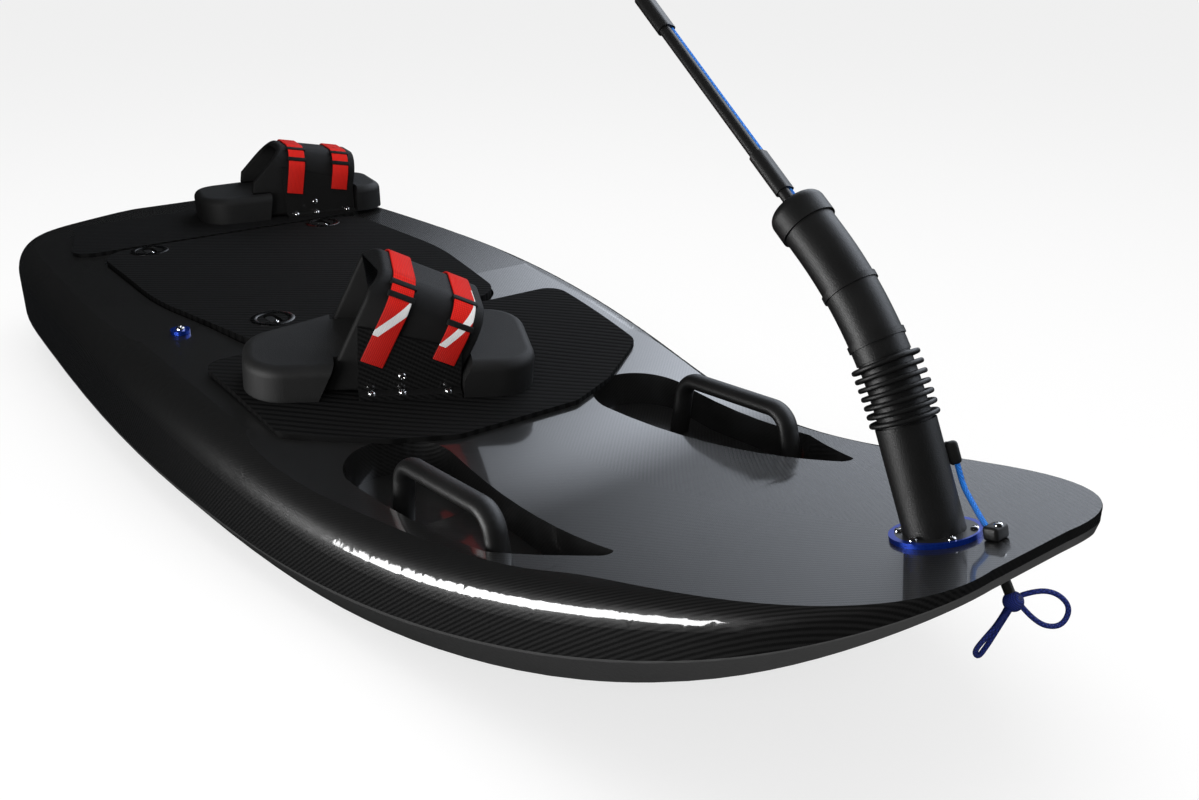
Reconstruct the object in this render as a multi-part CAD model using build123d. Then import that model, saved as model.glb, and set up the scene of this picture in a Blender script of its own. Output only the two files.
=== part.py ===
from build123d import *
import os
from math import atan, cos, degrees, radians, sin, sqrt, tan

# A jet-driven surfboard in carbon fibre, in millimetres.
# While it is built, x runs from the stern (0) to the bow, y to port, z up from the floor.
# The finished pieces are moved so that the origin is under the middle of the hull.

os.makedirs("parts", exist_ok=True)

# Places and curves along the board are drawn for 1800 and follow its length by the share ALONG.
# Hull: overall sizes and the keel line, a kicked-up tail, a flat planing run and an arc up to the bow
LENGTH = 1800.0
ALONG = LENGTH / 1800.0
HALF_BEAM = 330.0
PLANING_ANGLE = 1.9
KEEL_LOW_X = 1116.0 * ALONG
TAIL_KICK_X = 240.0
TAIL_KICK = 1.0
BOW_ROCKER_R = 1100.0 * ALONG

# Hull: the bevel over the bottom, and the bonded seam a little above it
BEVEL_RISE = 42.0
BEVEL_BOW_R = 1256.0 * ALONG
BEVEL_INSET = 30.0
BEVEL_LEAN = 0.72
BEVEL_OVERRUN = 1.3
SEAM_RISE = 45.0
SEAM_BOW_R = 1266.0 * ALONG

# Deck line at the rail: height and slope at the stern, then tangent arcs (radius, end slope)
STERN_DECK_Z = 162.0
STERN_DECK_SLOPE = 2.13
DECK_ARCS = ((-14103.0 * ALONG, -1.04), (-1736.0 * ALONG, -10.0), (980.0 * ALONG, 16.0))
DECK_LIP = 1.0

# Stations: share of the length, share of the half beam, rail radius
STATIONS = (
    (0.000, 0.20, 16),
    (0.015, 0.43, 24),
    (0.035, 0.66, 30),
    (0.058, 0.815, 34),
    (0.095, 0.905, 38),
    (0.200, 0.972, 40),
    (0.390, 1.000, 42),
    (0.580, 0.935, 42),
    (0.683, 0.850, 40),
    (0.780, 0.755, 38),
    (0.910, 0.610, 26),
    (0.964, 0.500, 15),
    (0.986, 0.400, 8),
    (1.000, 0.140, 3),
)

# Hatch lid over the power bay, let into the deck on a ledge
LID_REAR_X = 324.0 * ALONG
LID_WAIST_X = 610.0 * ALONG
LID_FRONT_X = 850.0 * ALONG
LID_REAR_HALF = 214.0
LID_WAIST_HALF = 222.0
LID_FRONT_HALF = 176.0
LID_CORNER_R = 55.0
LID_WAIST_R = 500.0
LID_THICK = 12.0
LID_GAP = 3.0
LID_SEAT = 0.3
BAY_LENGTH = 330.0
BAY_WIDTH = 300.0
BAY_FRONT_MARGIN = 50.0
BAY_X = LID_FRONT_X - BAY_FRONT_MARGIN - BAY_LENGTH
BAY_CORNER_R = 30.0
BAY_FLOOR_Z = 52.0
UNIT_CLEARANCE = 15.0
UNIT_HEIGHT = 84.0
UNIT_EDGE_R = 8.0

# Lid latches: places (x, side y), and the slot that each sinks into
LATCHES = ((352.0, 145.0), (352.0, -145.0), (772.0, 126.0), (772.0, -126.0))
LATCH_LENGTH = 38.0
LATCH_WIDTH = 17.0
LATCH_DEPTH = 7.0
LATCH_RIM = 3.0
LATCH_THICK = 5.0

# Grip pads on the deck
PAD_THICK = 6.0
PAD_CORNER_R = 26.0
FRONT_PAD = ((866, 258), (1060, 248), (1128, 150), (1158, 80))
STERN_PAD = ((112, 190), (314, 250))

# Blue plug beside the lid
PLUG_X = 740.0 * ALONG
PLUG_Y = -236.0
PLUG_R = 12.0
PLUG_HEIGHT = 5.0

# Foot bindings: name, bed centre (x, y), turn about the deck normal, bed length, the stern corner of its
# heel end, and the arch's offset along the bed, its lean towards the toes and its height
BINDINGS = (
    ("front", 983.4, -71.3, -24.0, 336.0, -14.0, 18.0, 23.0, 127.0),
    ("rear", 212.0, 148.0, -12.0, 310.0, -60.0, 42.0, 10.0, 112.0),
)
BED_DEPTH = 156.0
BED_HEIGHT = 48.0
BED_CORNER_R = 45.0
BED_EDGE_R = 12.0
BED_HEEL_CUT = 108.0
BED_NOTCH = 28.0
NOTCH_PLAY = 2.0
LEAN_PIVOT = 40.0
ARCH_FRONT = 60.0
ARCH_NOTCH = -80.0
ARCH_HEEL = -112.0
ARCH_HEEL_TOP = -66.0
ARCH_CORNER_R = 36.0
ARCH_THICK = 9.7
ARCH_FOOT = 8.0
PLATE_LENGTH = 118.0
PLATE_THICK = 3.0
PLATE_TOP_HEEL = 90.0
PLATE_TOP_TOE = 58.0
FLANGE_THICK = 4.0
STRAP_PLACES = (-42.0, 33.0)
STRAP_WIDTH = 27.0
STRAP_THICK = 2.4
STRAP_CORNER_R = 40.0
STRAP_LOW = 44.0
FIT = 0.3

# Grab handles in their scooped recesses, one each side
HANDLE_Y = 187.0
HANDLE_ROUTE = ((1216, 70), (1228, 160), (1388, 172), (1411, 84))
HANDLE_BEND_R = 24.0
HANDLE_HALF_WIDTH = 12.0
HANDLE_HALF_THICK = 9.0
SCOOP_ROUNDS = ((1176, 164, 60), (1398, 176, 31), (1504, 150, 8))
SCOOP_FLOOR = ((1080, 92), (1240, 90), (1400, 106), (1525, 174))

# Steering pole: it leans aft, bends, and ends in a cap
POLE_X = LENGTH - 79.0
POLE_LEAN = 26.0
POLE_TOP_LEAN = 53.0
POLE_BEND_R = 330.0
POLE_STRAIGHT = 88.0
POLE_TAIL = 16.0
POLE_BASE_R = 23.5
POLE_HOSE_R = 21.5
BELLOWS_LENGTH = 52.0
BELLOWS_RIBS = 7
BELLOWS_RIB_R = 27.0
BELLOWS_RIB_THICK = 4.0
BELLOWS_CORE_R = 20.5
HOSE_BANDS = (0.14, 0.58)
HOSE_BAND_R = 22.8
HOSE_BAND_THICK = 5.0
CAP_R = 23.5
CAP_LENGTH = 24.0
CAP_EDGE_R = 9.0
FLANGE_R = 35.0
FLANGE_HEIGHT = 4.0
EAR_AT = 57.0
EAR_TURN = 37.0
EAR_REACH = 6.5
EAR_WIDTH = 9.0
EAR_HEIGHT = 18.0
CLAMP_X = LENGTH - 34.0
CLAMP_Y = 10.0
CLAMP_LENGTH = 13.0
CLAMP_WIDTH = 16.0
CLAMP_HEIGHT = 11.0
LOWER_CORD_R = 2.2

# Control line: cable and safety cord held taut, to a throttle grip
CABLE_R = 5.0
CABLE_LENGTH = 292.0
LINE_R = 2.2
LINE_SIDE = 7.6
SLEEVES = (14.0, 200.0)
SLEEVE_LENGTH = 40.0
SLEEVE_WALL = 1.6
GRIP_LENGTH = 112.0
GRIP_R = 15.0
GRIP_SWELL_R = 17.5
TRIGGER_LENGTH = 58.0
TRIGGER_WIDTH = 12.0
TRIGGER_THICK = 7.0

# Bow eye with its knotted cord
EYE_X = LENGTH - 18.0
EYE_R = 4.0
EYE_LENGTH = 14.0
EYE_LEAN = 35.0
KNOT_R = 7.6
ROPE_R = 2.0
BOW_LOOPS = {
    "bow_loop_long": ((6, 2, 4), (18, 3, 8), (33, 3, 5), (43, 1, -6), (38, -2, -19), (25, -4, -19), (13, -3, -11),
                      (6, -2, -3)),
    "bow_loop_short": ((-4, 0, -6), (-9, -2, -17), (-18, -3, -30), (-24, -2, -42), (-19, 1, -49), (-13, 3, -40),
                       (-7, 3, -25), (0.5, 2.5, -6)),
    "bow_rope_end": ((-4, -5, -4), (-10, -9, -8), (-14, -11, -15)),
}
ROPE_ACROSS = (0.61, 0.79)

# Water jet: tunnel, nozzle, duct and intake, all on one axis
JET_Z = 70.0
TUNNEL_R = 38.0
TUNNEL_LENGTH = 96.0
DUCT_R = 32.0
DUCT_LENGTH = 240.0
NOZZLE_X = 22.0
NOZZLE_BORE_R = 20.0
NOZZLE_BORE_LENGTH = 25.0
NOZZLE_MOUTH_R = 26.0
NOZZLE_ROOT_R = 36.0
NOZZLE_ROOT_BORE_R = 30.0
NOZZLE_COLLAR = 6.0
NOZZLE_COLLAR_STEP = 2.0
THROAT_HALF = 32.0
THROAT = ((240, 102), (330, 102), (540, 22), (540, -20), (345, -20), (300, 38), (240, 38))
GRATE_BARS = 5
GRATE_BAR = 5.0
GRATE_THICK = 8.0
GRATE_RIM = 9.0
GRATE_GAP = 0.2
GRATE_SHORTER = 60.0
GRATE_FORWARD = 6.0
IMPELLER_X = 140.0
SHAFT_END_GAP = 0.5
IMPELLER_HUB_R = 12.0
IMPELLER_HUB_LENGTH = 44.0
IMPELLER_BLADES = 4
IMPELLER_TIP_R = 30.5
BLADE_THICK = 3.0
BLADE_PITCH = 40.0
SHAFT_R = 6.0
SHAFT_BEARING_GAP = 0.3

# Tail fins: (x, z) outline above and below the planing run, and their place off the centreline
FIN_OUTLINE = ((96, 60), (108, 0), (150, 0), (222, 60))
FIN_THICK = 7.0
FIN_Y = 148.0

# Heights that reach past the whole board, for columns and cutting blocks
TALL = 420.0
WIDE = 500.0
BEYOND = 40.0


def deck_z(x):
    """Height of the deck at the rail, walked along the tangent arcs."""
    x0, z0, s0 = 0.0, STERN_DECK_Z, sin(radians(STERN_DECK_SLOPE))
    for radius, slope in DECK_ARCS:
        s1 = sin(radians(slope))
        x1 = x0 + radius * (s1 - s0)
        if x < x1:
            s1 = s0 + (x - x0) / radius
            return z0 + radius * (sqrt(1 - s0**2) - sqrt(1 - s1**2))
        z0 += radius * (sqrt(1 - s0**2) - sqrt(1 - s1**2))
        x0, s0 = x1, s1
    return z0 + (x - x0) * tan(radians(DECK_ARCS[-1][1]))


def deck_slope(x):
    """Slope of the deck line in degrees, up towards the bow."""
    return degrees(atan(deck_z(x + 0.5) - deck_z(x - 0.5)))


def planing_end():
    """Where the flat planing run turns into the bow rocker."""
    return KEEL_LOW_X - BOW_ROCKER_R * sin(radians(PLANING_ANGLE))


def rocker(x, rise, bow_r):
    """Height of the keel line, or of a line parallel to it that closes up towards the bow."""
    end = planing_end()
    if x < end:
        lift = BOW_ROCKER_R * (1 - cos(radians(PLANING_ANGLE)))
        kick = max(0.0, TAIL_KICK_X - x) * tan(radians(TAIL_KICK))
        return rise + lift + kick + (end - x) * tan(radians(PLANING_ANGLE))
    return rise + bow_r - sqrt(bow_r**2 - (x - KEEL_LOW_X)**2)


def side_prism(edges, half_width):
    """A solid as wide as given, from edges drawn in the side view (x, z)."""
    face = Face(Wire([Plane.XZ.from_local_coords(edge) for edge in edges]))
    return extrude(face, amount=half_width, dir=(0, 1, 0), both=True)


def side_polygon(points, half_width):
    """A prism across the board from corner points in the side view."""
    corners = list(points)
    edges = [Line(a, b) for a, b in zip(corners, corners[1:] + corners[:1])]
    return side_prism(edges, half_width)


def under(rise, bow_r):
    """Everything below the keel line, or below a line at some height over it."""
    end, front = planing_end(), LENGTH + BEYOND / 2
    middle = (end + front) / 2
    stern = (-BEYOND, rocker(-BEYOND, rise, bow_r))
    tail = (TAIL_KICK_X, rocker(TAIL_KICK_X, rise, bow_r))
    turn = (end, rocker(end, rise, bow_r))
    bow = (front, rocker(front, rise, bow_r))
    edges = [
        Line(stern, tail),
        Line(tail, turn),
        ThreePointArc(turn, (middle, rocker(middle, rise, bow_r)), bow),
        Line(bow, (front, -WIDE)),
        Line((front, -WIDE), (-BEYOND, -WIDE)),
        Line((-BEYOND, -WIDE), stern),
    ]
    return side_prism(edges, WIDE)


def section(share_x, share_beam, rail_r):
    """One cross-section of the hull: bottom, bevels, sides, rounded rails and flat deck."""
    x, half = share_x * LENGTH, share_beam * HALF_BEAM
    keel, bevel, deck = rocker(x, 0, BOW_ROCKER_R), rocker(x, BEVEL_RISE, BEVEL_BOW_R), deck_z(x) + DECK_LIP
    # The bevel runs on below the keel line, which is cut afterwards
    low_y = half - BEVEL_OVERRUN * min(BEVEL_INSET, BEVEL_LEAN * (bevel - keel))
    low_z = bevel - BEVEL_OVERRUN * (bevel - keel)
    rail_y, rail_z = half - rail_r, deck - rail_r
    arc_y, arc_z = rail_y + rail_r * cos(radians(45)), rail_z + rail_r * sin(radians(45))
    edges = [
        Line((x, -low_y, low_z), (x, low_y, low_z)),
        Line((x, low_y, low_z), (x, half, bevel)),
        Line((x, half, bevel), (x, half, rail_z)),
        ThreePointArc((x, half, rail_z), (x, arc_y, arc_z), (x, rail_y, deck)),
        Line((x, rail_y, deck), (x, -rail_y, deck)),
        ThreePointArc((x, -rail_y, deck), (x, -arc_y, arc_z), (x, -half, rail_z)),
        Line((x, -half, rail_z), (x, -half, bevel)),
        Line((x, -half, bevel), (x, -low_y, low_z)),
    ]
    return Face(Wire(edges))


def under_deck(height=0.0, limit=-WIDE):
    """Everything below the deck surface, or a surface at some height over it; above it with a high limit."""
    x0, s0 = -BEYOND, sin(radians(STERN_DECK_SLOPE)) - BEYOND / DECK_ARCS[0][0]
    edges, start = [], (x0, deck_z(x0) + height)
    for radius, slope in DECK_ARCS:
        x1 = x0 + radius * (sin(radians(slope)) - s0)
        middle, stop = (x0 + x1) / 2, (x1, deck_z(x1) + height)
        edges.append(ThreePointArc(start, (middle, deck_z(middle) + height), stop))
        x0, s0, start = x1, sin(radians(slope)), stop
    front = LENGTH + BEYOND
    bow = (front, deck_z(front) + height)
    edges += [
        Line(start, bow),
        Line(bow, (front, limit)),
        Line((front, limit), (-BEYOND, limit)),
        Line((-BEYOND, limit), (-BEYOND, deck_z(-BEYOND) + height)),
    ]
    return side_prism(edges, WIDE)


keel_cut = under(0, BOW_ROCKER_R)
deck_block = under_deck()
padded_deck = under_deck(PAD_THICK)
hull = loft([section(*row) for row in STATIONS]) - under_deck(limit=WIDE) - keel_cut


def column(sketch):
    """A plan outline drawn right through the board."""
    return extrude(sketch, TALL)


def deck_layer(sketch, low, high):
    """The part of a plan outline that lies between two heights over the deck surface."""
    return (column(sketch) & under_deck(high)) - under_deck(low)


def mirrored_outline(half_points):
    """A closed plan outline from the corners of its port half."""
    port = list(half_points)
    starboard = [(x, -y) for x, y in reversed(port)]
    return make_face(Polyline(*port, *starboard, close=True))


def deck_frame(x, y, turn=0.0):
    """A frame that stands on the deck, along the deck's slope, turned about its normal."""
    return Pos(x, y, deck_z(x)) * Rot(0, -deck_slope(x), 0) * Rot(0, 0, turn)


pieces = {}

# Hatch lid and the bay below it: the lid is the deck's own top layer, with its grip pad
lid_plan = mirrored_outline((
    (LID_REAR_X, LID_REAR_HALF),
    (LID_WAIST_X, LID_WAIST_HALF),
    (LID_FRONT_X, LID_FRONT_HALF),
))
waist = [v for v in lid_plan.vertices() if abs(v.X - LID_WAIST_X) < 1]
lid_plan = fillet(waist, LID_WAIST_R)
corners = [v for v in lid_plan.vertices() if abs(v.X - LID_REAR_X) < 1 or abs(v.X - LID_FRONT_X) < 1]
lid_plan = fillet(corners, LID_CORNER_R)
lid = deck_layer(lid_plan, -LID_THICK, PAD_THICK)
lid_pocket = deck_layer(offset(lid_plan, LID_GAP), -LID_THICK - LID_SEAT, BEYOND)
bay = Pos(BAY_X + BAY_LENGTH / 2, 0, BAY_FLOOR_Z) * extrude(
    RectangleRounded(BAY_LENGTH, BAY_WIDTH, BAY_CORNER_R), TALL)
unit = Box(BAY_LENGTH - 2 * UNIT_CLEARANCE, BAY_WIDTH - 2 * UNIT_CLEARANCE, UNIT_HEIGHT,
           align=(Align.CENTER, Align.CENTER, Align.MIN))
unit = fillet(unit.edges().filter_by(Axis.Z), UNIT_EDGE_R)
pieces["power_unit"] = Pos(BAY_X + BAY_LENGTH / 2, 0, BAY_FLOOR_Z) * unit

# Latches sunk in the lid's corners
latches = []
for latch_at, latch_y in LATCHES:
    latch_x = latch_at * ALONG
    slot = Pos(latch_x, latch_y) * SlotOverall(LATCH_LENGTH, LATCH_WIDTH)
    lever = Pos(latch_x, latch_y) * SlotOverall(LATCH_LENGTH - 2 * LATCH_RIM, LATCH_WIDTH - 2 * LATCH_RIM)
    floor = PAD_THICK - LATCH_DEPTH
    lid -= deck_layer(slot, floor, BEYOND)
    latches.append(deck_layer(lever, floor, floor + LATCH_THICK))
pieces["hatch_lid"] = lid
pieces["hatch_latches"] = Compound(latches)

# Handle scoops: a teardrop in plan, with a floor that climbs to its tip
scoops = []
for side in (1, -1):
    rounds = [(Pos(x * ALONG, side * y) * Circle(r)).edge() for x, y, r in SCOOP_ROUNDS]
    scoops.append(column(make_hull(rounds)))
floor_line = [(x * ALONG, z) for x, z in SCOOP_FLOOR]
above_floor = side_polygon((*floor_line, (floor_line[-1][0], TALL), (floor_line[0][0], TALL)), WIDE)

# Water jet passages
jet_axis = Pos(0, 0, JET_Z) * Rot(0, 90, 0)
along = (Align.CENTER, Align.CENTER, Align.MIN)
tunnel = jet_axis * Pos(0, 0, -BEYOND) * Cylinder(TUNNEL_R, TUNNEL_LENGTH + BEYOND, align=along)
tunnel += Pos(-BEYOND, 0, 0) * Box(TUNNEL_LENGTH + BEYOND, 2 * TUNNEL_R, JET_Z,
                                   align=(Align.MIN, Align.CENTER, Align.MIN))
duct = jet_axis * Pos(0, 0, TUNNEL_LENGTH) * Cylinder(DUCT_R, DUCT_LENGTH - TUNNEL_LENGTH + BEYOND, align=along)
throat = side_polygon(THROAT, THROAT_HALF)
shaft_hole = jet_axis * Pos(0, 0, DUCT_LENGTH) * Cylinder(SHAFT_R + SHAFT_BEARING_GAP, BAY_X - DUCT_LENGTH,
                                                         align=along)
jet_passages = [tunnel, duct, throat, shaft_hole]

# Hull halves, bonded along the seam
seam = under(SEAM_RISE, SEAM_BOW_R)
hull_bottom = hull & seam
deck_shell = hull - seam
for passage in (*jet_passages, bay):
    hull_bottom -= passage
    deck_shell -= passage
deck_shell -= lid_pocket
for scoop in scoops:
    deck_shell -= scoop & above_floor
pieces["hull_bottom"] = hull_bottom
pieces["deck_shell"] = deck_shell

# Grip pads
front_pad_plan = mirrored_outline([(x * ALONG, y) for x, y in FRONT_PAD])
pieces["front_pad"] = deck_layer(fillet(front_pad_plan.vertices(), PAD_CORNER_R), 0, PAD_THICK)
stern_pad_plan = mirrored_outline([(x * ALONG, y) for x, y in STERN_PAD])
pieces["stern_pad"] = deck_layer(fillet(stern_pad_plan.vertices(), PAD_CORNER_R), 0, PAD_THICK)

# Blue plug
plug_place = Pos(PLUG_X, PLUG_Y)
pieces["deck_plug"] = deck_layer(plug_place * Circle(PLUG_R), 0, PLUG_HEIGHT)

# Foot bindings: foam bed, padded arch over the foot, carbon plates at bow and stern, two straps
def over_arch(side_v, top_w, corner_r, low_w):
    """Edges up one side of the foot, over its top with rounded corners, and down the other side."""
    flat_v, corner_w, bend = side_v - corner_r, top_w - corner_r, corner_r * cos(radians(45))
    edges = [Line((flat_v, top_w), (-flat_v, top_w))]
    for end in (1, -1):
        edges.append(Line((end * side_v, low_w), (end * side_v, corner_w)))
        edges.append(ThreePointArc((end * side_v, corner_w), (end * (flat_v + bend), corner_w + bend),
                                   (end * flat_v, top_w)))
    return edges


def arch_band(outer_v, outer_top, corner_r, thick, low_w, length, centre_u):
    """A band bent over the foot, with its section in the (v, w) plane."""
    inner_v = outer_v - thick
    outer = over_arch(outer_v, outer_top, corner_r, low_w)
    inner = over_arch(inner_v, outer_top - thick, corner_r - thick, low_w)
    feet = [Line((outer_v, low_w), (inner_v, low_w)), Line((-outer_v, low_w), (-inner_v, low_w))]
    face = Face(Wire.combine([Plane.XZ.from_local_coords(edge) for edge in (*outer, *inner, *feet)])[0])
    return Pos(0, centre_u, 0) * extrude(face, amount=length / 2, dir=(0, 1, 0), both=True)


def long_prism(points, half_depth):
    """A prism along v, from corner points in the (u, w) plane."""
    corners = [(0, u, w) for u, w in points]
    return extrude(Face(Wire.make_polygon(corners)), amount=half_depth, dir=(1, 0, 0), both=True)


for name, bed_x, bed_y, turn, bed_length, heel_v, arch_u, lean, arch_top in BINDINGS:
    frame = deck_frame(bed_x * ALONG, bed_y, turn)
    leaned = Pos(0, arch_u, LEAN_PIVOT) * Rot(-lean, 0, 0) * Pos(0, 0, -LEAN_PIVOT)
    half_v, half_u = BED_DEPTH / 2, bed_length / 2
    bed_plan = make_face(Polyline(
        (half_v, -half_u), (half_v, half_u), (-half_v, half_u), (-half_v, BED_HEEL_CUT - half_u), (heel_v, -half_u),
        close=True))
    bed_plan = fillet(bed_plan.vertices(), BED_CORNER_R)
    bed = extrude(bed_plan, BED_HEIGHT)
    bed = fillet(bed.faces().sort_by(Axis.Z)[-1].edges(), BED_EDGE_R)
    bed += Pos(0, 0, -BEYOND) * extrude(bed_plan, BEYOND)
    notch_v = half_v - BED_NOTCH
    notch_length = ARCH_FRONT - ARCH_NOTCH + 2 * NOTCH_PLAY
    for end in (1, -1):
        bed -= leaned * Pos(end * half_v, (ARCH_FRONT + ARCH_NOTCH) / 2, 0) * Box(2 * BED_NOTCH, notch_length, TALL)
        bed -= Pos(end * half_v, arch_u, 0) * Box(2 * BED_NOTCH, PLATE_LENGTH + 2 * NOTCH_PLAY, TALL)
    bed = frame * bed
    pieces[f"{name}_binding_bed"] = bed - padded_deck
    # The arch leans towards the toes, its heel end is cut on a slant, and it stands on the bed or in its notches
    arch_v = notch_v + FIT + ARCH_THICK
    arch = arch_band(arch_v, arch_top, ARCH_CORNER_R, ARCH_THICK, -BEYOND, ARCH_FRONT - ARCH_HEEL,
                     (ARCH_FRONT + ARCH_HEEL) / 2)
    arch -= long_prism(((ARCH_HEEL, BED_HEIGHT), (ARCH_HEEL_TOP, arch_top + 1), (ARCH_HEEL - BEYOND, arch_top + 1),
                        (ARCH_HEEL - BEYOND, BED_HEIGHT)), WIDE)
    arch = leaned * arch - Box(WIDE, WIDE, TALL, align=(Align.CENTER, Align.CENTER, Align.MAX)).moved(
        Location((0, 0, ARCH_FOOT)))
    pieces[f"{name}_binding_arch"] = frame * arch - bed
    plates = []
    plate_v = arch_v + FIT
    half_plate = PLATE_LENGTH / 2
    for end in (1, -1):
        wall = Pos(end * (plate_v + PLATE_THICK / 2), arch_u, 0) * long_prism(
            ((-half_plate, 0), (half_plate, 0), (half_plate, PLATE_TOP_TOE), (-half_plate, PLATE_TOP_HEEL)),
            PLATE_THICK / 2)
        foot_length = half_v - plate_v
        foot = Pos(end * (plate_v + foot_length / 2), arch_u, -BEYOND / 2) * Box(
            foot_length, PLATE_LENGTH, BEYOND / 2 + PAD_THICK + FLANGE_THICK,
            align=(Align.CENTER, Align.CENTER, Align.MIN))
        plates.append(frame * (wall + foot) - padded_deck)
    pieces[f"{name}_binding_plates"] = Compound(plates)
    strap_v = plate_v + PLATE_THICK + FIT + STRAP_THICK
    straps = []
    for place in STRAP_PLACES:
        low = LEAN_PIVOT + (STRAP_LOW - LEAN_PIVOT + place * sin(radians(lean))) / cos(radians(lean))
        band = arch_band(strap_v, arch_top + FIT + STRAP_THICK, STRAP_CORNER_R, STRAP_THICK, low, STRAP_WIDTH, place)
        straps.append(frame * leaned * band)
    pieces[f"{name}_binding_straps"] = Compound(straps)

# Grab handles: an oval bar bent over its scoop, its feet on the scoop's floor
for name, side in (("port", 1), ("starboard", -1)):
    route = FilletPolyline(*[(x * ALONG, side * HANDLE_Y, z) for x, z in HANDLE_ROUTE], radius=HANDLE_BEND_R)
    oval = Plane(origin=route @ 0, z_dir=route % 0, x_dir=(0, 1, 0)) * Ellipse(HANDLE_HALF_WIDTH, HANDLE_HALF_THICK)
    pieces[f"grab_handle_{name}"] = sweep(oval, path=route) & above_floor

# Pole: flange on the deck, leaning base tube, bellows, bent hose and cap
flange_frame = deck_frame(POLE_X, 0)
flange = flange_frame * Pos(0, 0, -FLANGE_HEIGHT) * Cylinder(FLANGE_R, 2 * FLANGE_HEIGHT, align=along) - deck_block
pieces["pole_flange"] = flange
foot = Vector(POLE_X, 0, deck_z(POLE_X))


def leaning(angle):
    """Unit direction in the board's middle plane, leaning aft by an angle from upright."""
    return Vector(-sin(radians(angle)), 0, cos(radians(angle)))


def frame_at(point, direction):
    """A frame at a point with its z axis along a direction in the middle plane."""
    return Location(Plane(origin=point, x_dir=(0, 1, 0), z_dir=direction))


base_dir = leaning(POLE_LEAN)
base_top = foot + base_dir * POLE_STRAIGHT
base_tube = frame_at(foot - base_dir * BEYOND, base_dir) * Cylinder(POLE_BASE_R, POLE_STRAIGHT + BEYOND, align=along)
base_tube -= flange_frame * Pos(0, 0, FLANGE_HEIGHT) * Box(
    WIDE, WIDE, WIDE, align=(Align.CENTER, Align.CENTER, Align.MAX))
pieces["pole_base_tube"] = base_tube


def pole_point(angle):
    """Point of the pole's bend where it leans by an angle."""
    a, b = radians(POLE_LEAN), radians(angle)
    return base_top + Vector(-POLE_BEND_R * (cos(a) - cos(b)), 0, POLE_BEND_R * (sin(b) - sin(a)))


def pole_arc(start, end):
    """Arc of the pole's bend between two leans."""
    return ThreePointArc(pole_point(start), pole_point((start + end) / 2), pole_point(end))


bellows_lean = POLE_LEAN + degrees(BELLOWS_LENGTH / POLE_BEND_R)
core_frame = frame_at(base_top, base_dir)
bellows = sweep(core_frame * Circle(BELLOWS_CORE_R), path=pole_arc(POLE_LEAN, bellows_lean))
for rib in range(BELLOWS_RIBS):
    rib_lean = POLE_LEAN + (bellows_lean - POLE_LEAN) * (rib + 0.5) / BELLOWS_RIBS
    ring = Cylinder(BELLOWS_RIB_R, BELLOWS_RIB_THICK)
    ring = fillet(ring.edges(), BELLOWS_RIB_THICK * 0.45)
    bellows += frame_at(pole_point(rib_lean), leaning(rib_lean)) * ring
pieces["pole_bellows"] = bellows

hose_frame = frame_at(pole_point(bellows_lean), leaning(bellows_lean))
hose_end = pole_point(POLE_TOP_LEAN) + leaning(POLE_TOP_LEAN) * POLE_TAIL
hose_route = Wire([pole_arc(bellows_lean, POLE_TOP_LEAN), Line(pole_point(POLE_TOP_LEAN), hose_end)])
hose = sweep(hose_frame * Circle(POLE_HOSE_R), path=hose_route)
for share in HOSE_BANDS:
    band_lean = bellows_lean + (POLE_TOP_LEAN - bellows_lean) * share
    hose += frame_at(pole_point(band_lean), leaning(band_lean)) * Cylinder(HOSE_BAND_R, HOSE_BAND_THICK)
pieces["pole_hose"] = hose

top_dir = leaning(POLE_TOP_LEAN)
cap = Cylinder(CAP_R, CAP_LENGTH, align=along)
cap = fillet(cap.edges().sort_by(Axis.Z)[-1], CAP_EDGE_R)
pieces["pole_cap"] = frame_at(hose_end, top_dir) * cap
cap_end = hose_end + top_dir * CAP_LENGTH

# Cord ear on the base tube, clamp on the deck, and the short blue cord between them
ear_frame = frame_at(foot + base_dir * EAR_AT, base_dir)
ear = ear_frame * Rot(0, 0, -EAR_TURN) * Pos(POLE_BASE_R - EAR_REACH / 2, 0, 0) * Box(
    2 * EAR_REACH, EAR_WIDTH, EAR_HEIGHT, align=(Align.MIN, Align.CENTER, Align.CENTER))
pieces["cord_ear"] = ear - base_tube
clamp_frame = deck_frame(CLAMP_X, CLAMP_Y)
clamp = clamp_frame * Pos(0, 0, -CLAMP_HEIGHT) * Box(
    CLAMP_LENGTH, CLAMP_WIDTH, 2 * CLAMP_HEIGHT, align=(Align.CENTER, Align.CENTER, Align.MIN)) - deck_block - flange
pieces["cord_clamp"] = clamp

# Control cable and safety cord, side by side in the middle plane's direction, with sleeves
cable_frame = frame_at(cap_end, top_dir)
cable = Cylinder(CABLE_R, CABLE_LENGTH, align=along)
line = Pos(LINE_SIDE, 0, 0) * Cylinder(LINE_R, CABLE_LENGTH, align=along)
pieces["control_cable"] = cable_frame * cable
pieces["safety_line"] = cable_frame * line
sleeves = []
for start in SLEEVES:
    rims = [*Circle(CABLE_R + SLEEVE_WALL).edges(), *(Pos(LINE_SIDE, 0) * Circle(LINE_R + SLEEVE_WALL)).edges()]
    sleeve = extrude(make_hull(rims), SLEEVE_LENGTH)
    sleeves.append(cable_frame * (Pos(0, 0, start) * sleeve - cable - line))
pieces["cable_sleeves"] = Compound(sleeves)

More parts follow.
